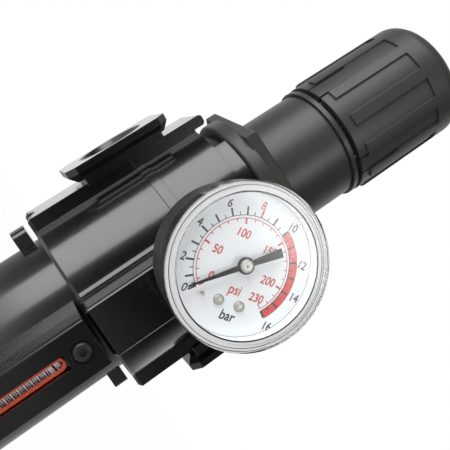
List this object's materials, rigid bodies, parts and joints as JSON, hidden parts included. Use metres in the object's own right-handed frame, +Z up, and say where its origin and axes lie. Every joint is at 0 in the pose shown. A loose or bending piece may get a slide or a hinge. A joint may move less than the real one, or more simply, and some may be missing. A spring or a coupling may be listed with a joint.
{
  "type": "filter regulator",
  "caption": "Air filter and pressure regulator in one block: threaded side ports, adjusting knob above, dial gauge in front, metal bowl with level glass and drain below.",
  "frame": {"origin": "where the axis of the two ports crosses the regulator's upright axis", "axes": "+Z up along the knob, bonnet and bowl, +X towards the outlet port, -Y towards the gauge"},
  "size_m": [0.075, 0.1054, 0.2467],
  "materials": {
    "cast_paint": "glossy black paint on die-cast metal",
    "bowl_paint": "glossy black paint on a metal cup",
    "frame_paint": "glossy black paint on a pressed block",
    "bonnet_plastic": "satin black moulded plastic",
    "knob_plastic": "satin black moulded plastic",
    "drain_plastic": "satin black moulded plastic",
    "gauge_black": "black paint on a steel cup",
    "clear_lens": "clear moulded lens",
    "dial_white": "white dial with printed scales",
    "gauge_brass": "turned",
    "small_steel": "plated",
    "pointer_black": "matt black",
    "screw_black": "black oxide",
    "sight_clear": "clear moulded level glass",
    "seal_red": "red moulded seal",
    "seal_black": "moulded seal",
    "inner_white": "plain moulded",
    "filter_white": "porous moulded tube",
    "plain_steel": "turned and plated",
    "plain_brass": "turned",
    "spring_steel": "spring wire"
  },
  "bodies": {
    "body": {"body_casting": "cast_paint", "bonnet": "bonnet_plastic", "slip_ring": "inner_white", "diaphragm": "seal_black", "regulating_spring": "spring_steel", "valve_spring": "spring_steel", "valve_guide": "inner_white", "swirl_vanes": "inner_white", "filter_element": "filter_white", "baffle": "inner_white", "gauge_stem": "gauge_brass", "gauge_case": "gauge_black", "gauge_lens": "clear_lens", "gauge_dial": "dial_white", "movement_frame": "gauge_brass", "dial_screws": "small_steel", "stop_pin": "small_steel", "rear_plug": "screw_black"},
    "screw": {"adjusting_screw": "plain_steel"},
    "knob": {"knob": "knob_plastic"},
    "spring_seat": {"spring_seat": "plain_brass"},
    "diaphragm_group": {"diaphragm_plate": "plain_brass", "relief_nut": "plain_brass"},
    "valve": {"valve_poppet": "plain_brass", "valve_seal": "seal_black"},
    "pointer": {"pointer": "pointer_black", "pointer_cap": "small_steel", "pointer_shaft": "small_steel"},
    "bowl": {"bowl": "bowl_paint", "bowl_seal_ring": "seal_black", "sight_frame": "frame_paint", "sight_glass": "sight_clear", "sight_seal": "seal_red", "frame_screws": "screw_black", "drain_fitting": "plain_brass", "drain_nut": "drain_plastic"},
    "drain": {"drain_knob": "drain_plastic"}
  },
  "joints": [
    {"name": "pressure_screw", "type": "hinge", "parent": "body", "child": "screw", "pos_m": [0, 0, 0.07], "axis": [0, 0, -1], "range_deg": [0, 1800]},
    {"name": "knob_lift", "type": "slide", "parent": "screw", "child": "knob", "axis": [0, 0, 1], "range_m": [0, 0.003]},
    {"name": "seat_travel", "type": "slide", "parent": "body", "child": "spring_seat", "axis": [0, 0, -1], "range_m": [0, 0.0076], "deforming": ["regulating_spring"]},
    {"name": "diaphragm_travel", "type": "slide", "parent": "body", "child": "diaphragm_group", "axis": [0, 0, -1], "range_m": [0, 0.0015], "stiffness_N_per_m": 1500, "springref_m": -0.002, "deforming": ["diaphragm"]},
    {"name": "valve_travel", "type": "slide", "parent": "body", "child": "valve", "axis": [0, 0, -1], "range_m": [0, 0.0016], "deforming": ["valve_spring"]},
    {"name": "pointer_turn", "type": "hinge", "parent": "body", "child": "pointer", "pos_m": [0, -0.0586, 0.0042], "axis": [0, 1, 0], "range_deg": [0, 270], "stiffness_Nm_per_rad": 0.0004, "springref_deg": -34.38},
    {"name": "bowl_twist", "type": "hinge", "parent": "body", "child": "bowl", "pos_m": [0, 0, -0.03], "axis": [0, 0, 1], "range_deg": [0, 45]},
    {"name": "drain_turn", "type": "hinge", "parent": "bowl", "child": "drain", "pos_m": [0, 0, -0.125], "axis": [0, 0, 1], "range_deg": [0, 180]}
  ],
  "couplings": [
    {"joint": "seat_travel", "follows": "pressure_screw", "m_per_rad": 0.00023873},
    {"joint": "valve_travel", "follows": "diaphragm_travel", "ratio": 1}
  ]
}
